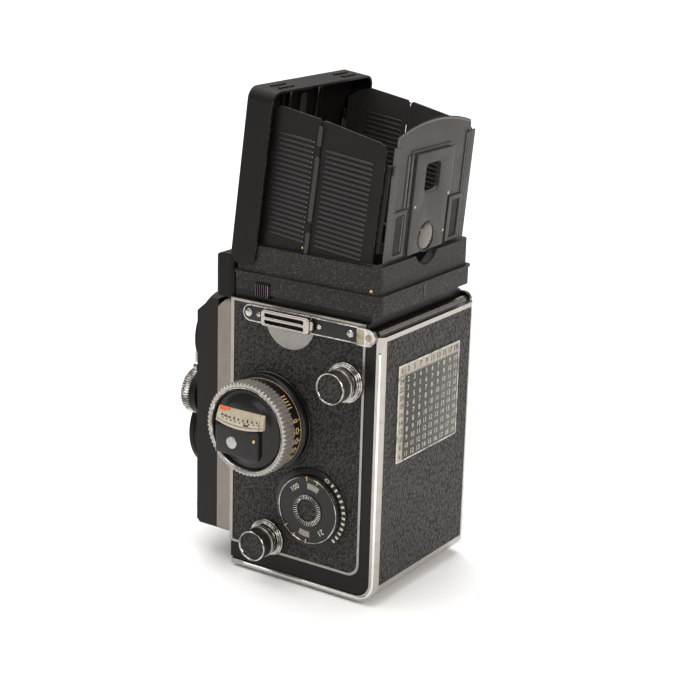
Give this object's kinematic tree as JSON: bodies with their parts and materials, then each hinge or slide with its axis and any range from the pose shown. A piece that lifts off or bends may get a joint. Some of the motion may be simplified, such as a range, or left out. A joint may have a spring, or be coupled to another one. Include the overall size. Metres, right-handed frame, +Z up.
{
  "type": "twin lens reflex camera",
  "caption": "Twin lens reflex roll film camera with an open folding waist level hood, a racked lens standard, a side focusing knob with a meter, spool knobs, a film crank and a hinged back.",
  "frame": {"origin": "mouth of the tripod socket, in the plane of the feet", "axes": "+Z up, -Y towards what is pictured (the lenses look along -Y), +X towards the focusing knob side"},
  "size_m": [0.1034, 0.1143, 0.2128],
  "materials": {
    "black_paint": "semi-gloss black paint",
    "crinkle_paint": "fine crinkle black paint",
    "hood_paint": "satin black paint",
    "leatherette": "embossed pebble grain",
    "satin_metal": "satin, lightly worn",
    "bright_chrome": "polished",
    "steel": "turned",
    "gear_brass": "cut",
    "spool_plastic": "moulded",
    "scale_black": "gloss black with engraved figures",
    "lens_black": "black anodised",
    "lens_glass": "coated",
    "screen_glass": "ground",
    "mirror_silver": "front silvered",
    "scale_ivory": "ivory scale under a clear cover",
    "needle_orange": "orange paint",
    "table_plate": "printed plate"
  },
  "bodies": {
    "body": {"body_casting": "black_paint", "mirror": "mirror_silver", "focusing_screen": "screen_glass", "side_leather": "leatherette", "side_trims": "satin_metal", "strap_plates": "bright_chrome", "strap_clips": "bright_chrome", "nose_housing": "black_paint", "meter_cell": "scale_ivory", "focus_flange": "black_paint", "meter_readout": "scale_black", "meter_window": "scale_ivory", "film_speed_scale": "black_paint", "knob_flanges": "bright_chrome", "door_hinge_pin": "bright_chrome", "hood_base": "crinkle_paint", "hood_lid": "hood_paint"},
    "meter_needle": {"meter_needle": "needle_orange"},
    "focus_knob": {"focus_scale_ring": "scale_black", "focus_grip": "bright_chrome"},
    "lens_standard": {"lens_panel": "black_paint", "lens_sleeve": "satin_metal", "viewing_lens": "lens_black", "taking_lens": "lens_black", "lens_glass": "lens_glass", "flash_socket": "bright_chrome"},
    "aperture_wheel": {"aperture_wheel": "bright_chrome"},
    "shutter_wheel": {"shutter_wheel": "bright_chrome"},
    "release_button": {"release_button": "bright_chrome"},
    "self_timer_lever": {"self_timer_lever": "bright_chrome"},
    "film_speed_dial": {"film_speed_dial": "scale_black"},
    "upper_spool_knob": {"upper_spool_knob": "bright_chrome"},
    "lower_spool_knob": {"lower_spool_knob": "bright_chrome"},
    "crank": {"crank_hub": "bright_chrome"},
    "crank_arm": {"crank_arm": "bright_chrome"},
    "crank_grip": {"crank_grip": "spool_plastic"},
    "takeup": {"takeup_gear": "gear_brass", "takeup_spool": "spool_plastic"},
    "supply": {"supply_spool": "spool_plastic"},
    "counter": {"counter_dial": "scale_ivory"},
    "lower_roller": {"lower_roller": "steel"},
    "upper_roller": {"upper_roller": "steel"},
    "door": {"back_door": "satin_metal", "door_leather": "leatherette", "exposure_table": "table_plate", "tripod_socket": "steel", "feet": "satin_metal"},
    "pressure_plate": {"pressure_plate": "black_paint"},
    "door_latch": {"door_latch": "bright_chrome"},
    "front_leaf_right": {"front_leaf_right": "hood_paint"},
    "rear_leaf_right": {"rear_leaf_right": "hood_paint"},
    "front_leaf_left": {"front_leaf_left": "hood_paint"},
    "rear_leaf_left": {"rear_leaf_left": "hood_paint"},
    "rear_panel": {"hood_rear_panel": "hood_paint", "rear_eyepiece": "lens_glass"},
    "magnifier": {"magnifier_arm": "hood_paint", "magnifier_lens": "lens_glass"},
    "hood_catch_right": {"hood_catch_right": "hood_paint"},
    "hood_catch_left": {"hood_catch_left": "hood_paint"}
  },
  "joints": [
    {"name": "focus_turn", "type": "hinge", "parent": "body", "child": "focus_knob", "pos_m": [0.045, -0.0173, 0.0724], "axis": [1, 0, 0], "range_deg": [-234, 67]},
    {"name": "standard_slide", "type": "slide", "parent": "body", "child": "lens_standard", "axis": [0, -1, 0], "range_m": [-0.007, 0.002]},
    {"name": "needle_swing", "type": "hinge", "parent": "body", "child": "meter_needle", "pos_m": [0.0559, -0.0173, 0.0684], "axis": [1, 0, 0], "range_deg": [-30, 38]},
    {"name": "aperture_turn", "type": "hinge", "parent": "lens_standard", "child": "aperture_wheel", "pos_m": [0.0205, -0.066, 0.0711], "axis": [0, -1, 0], "range_deg": [-60, 60]},
    {"name": "shutter_speed_turn", "type": "hinge", "parent": "lens_standard", "child": "shutter_wheel", "pos_m": [-0.0205, -0.066, 0.0711], "axis": [0, -1, 0], "range_deg": [-60, 60]},
    {"name": "release_press", "type": "slide", "parent": "lens_standard", "child": "release_button", "axis": [0, 1, 0], "range_m": [0, 0.0018], "stiffness_N_per_m": 400, "springref_m": -0.001},
    {"name": "self_timer_swing", "type": "hinge", "parent": "lens_standard", "child": "self_timer_lever", "pos_m": [0.0255, -0.065, 0.084], "axis": [0, 1, 0], "range_deg": [0, 60]},
    {"name": "film_speed_turn", "type": "hinge", "parent": "body", "child": "film_speed_dial", "pos_m": [0.039, 0.0054, 0.0377], "axis": [1, 0, 0], "range_deg": [-150, 150]},
    {"name": "upper_knob_pull", "type": "slide", "parent": "body", "child": "upper_spool_knob", "axis": [1, 0, 0], "range_m": [0, 0.005], "stiffness_N_per_m": 300, "springref_m": -0.002},
    {"name": "lower_knob_pull", "type": "slide", "parent": "body", "child": "lower_spool_knob", "axis": [1, 0, 0], "range_m": [0, 0.005], "stiffness_N_per_m": 300, "springref_m": -0.002},
    {"name": "crank_turn", "type": "hinge", "parent": "body", "child": "crank", "pos_m": [-0.04, 0.00204, 0.08567], "axis": [1, 0, 0], "continuous": true},
    {"name": "crank_arm_flip", "type": "hinge", "parent": "crank", "child": "crank_arm", "pos_m": [-0.043, 0.00204, 0.08567], "axis": [0, 0, -1], "range_deg": [0, 175]},
    {"name": "crank_grip_spin", "type": "hinge", "parent": "crank_arm", "child": "crank_grip", "pos_m": [-0.042, -0.01896, 0.08567], "axis": [1, 0, 0], "continuous": true},
    {"name": "takeup_turn", "type": "hinge", "parent": "body", "child": "takeup", "pos_m": [0, 0.0209, 0.097], "axis": [1, 0, 0], "continuous": true},
    {"name": "supply_turn", "type": "hinge", "parent": "body", "child": "supply", "pos_m": [0, -0.0173, 0.0183], "axis": [1, 0, 0], "continuous": true},
    {"name": "counter_turn", "type": "hinge", "parent": "body", "child": "counter", "pos_m": [-0.0355, -0.009, 0.103], "axis": [1, 0, 0], "continuous": true},
    {"name": "lower_roller_turn", "type": "hinge", "parent": "body", "child": "lower_roller", "pos_m": [0, 0.0276, 0.0132], "axis": [1, 0, 0], "continuous": true},
    {"name": "upper_roller_turn", "type": "hinge", "parent": "body", "child": "upper_roller", "pos_m": [0, 0.0296, 0.0808], "axis": [1, 0, 0], "continuous": true},
    {"name": "door_open", "type": "hinge", "parent": "body", "child": "door", "pos_m": [0, 0.033, 0.1186], "axis": [1, 0, 0], "range_deg": [0, 100]},
    {"name": "pressure_plate_press", "type": "slide", "parent": "door", "child": "pressure_plate", "axis": [0, 1, 0], "range_m": [0, 0.0007], "stiffness_N_per_m": 500, "springref_m": -0.001},
    {"name": "latch_turn", "type": "hinge", "parent": "door", "child": "door_latch", "pos_m": [0, 0, 0.0012], "axis": [0, 0, 1], "range_deg": [0, 70]},
    {"name": "hood_fold", "type": "hinge", "parent": "body", "child": "front_leaf_right", "pos_m": [0.0326, -0.03242, 0.17374], "axis": [0, 0.1184, 0.993], "range_deg": [0, 74]},
    {"name": "rear_leaf_fold_right", "type": "hinge", "parent": "front_leaf_right", "child": "rear_leaf_right", "pos_m": [0.034, 0.0002, 0.16985], "axis": [0, 0.1184, 0.993], "range_deg": [-148, 0]},
    {"name": "rear_panel_fold", "type": "hinge", "parent": "rear_leaf_right", "child": "rear_panel", "pos_m": [0.0326, 0.03282, 0.16596], "axis": [0, 0.1184, 0.993], "range_deg": [0, 74]},
    {"name": "front_leaf_fold_left", "type": "hinge", "parent": "body", "child": "front_leaf_left", "pos_m": [-0.0326, -0.03242, 0.17374], "axis": [0, -0.1184, -0.993], "range_deg": [0, 74]},
    {"name": "rear_leaf_fold_left", "type": "hinge", "parent": "front_leaf_left", "child": "rear_leaf_left", "pos_m": [-0.034, 0.0002, 0.16985], "axis": [0, -0.1184, -0.993], "range_deg": [-148, 0]},
    {"name": "magnifier_flip", "type": "hinge", "parent": "body", "child": "magnifier", "pos_m": [0, -0.03005, 0.1936], "axis": [-1, 0, 0], "range_deg": [-90, 0]},
    {"name": "catch_slide_right", "type": "slide", "parent": "body", "child": "hood_catch_right", "axis": [0, -1, 0], "range_m": [0, 0.006], "stiffness_N_per_m": 150, "springref_m": -0.002},
    {"name": "catch_slide_left", "type": "slide", "parent": "body", "child": "hood_catch_left", "axis": [0, -1, 0], "range_m": [0, 0.006], "stiffness_N_per_m": 150, "springref_m": -0.002}
  ],
  "couplings": [
    {"joint": "focus_turn", "follows": "standard_slide", "rad_per_m": 581.78},
    {"joint": "crank_turn", "follows": "takeup_turn", "ratio": -1},
    {"joint": "counter_turn", "follows": "takeup_turn", "ratio": 0.083333},
    {"joint": "rear_leaf_fold_right", "follows": "hood_fold", "ratio": -2},
    {"joint": "rear_panel_fold", "follows": "hood_fold", "ratio": 1},
    {"joint": "front_leaf_fold_left", "follows": "hood_fold", "ratio": 1},
    {"joint": "rear_leaf_fold_left", "follows": "hood_fold", "ratio": -2}
  ]
}
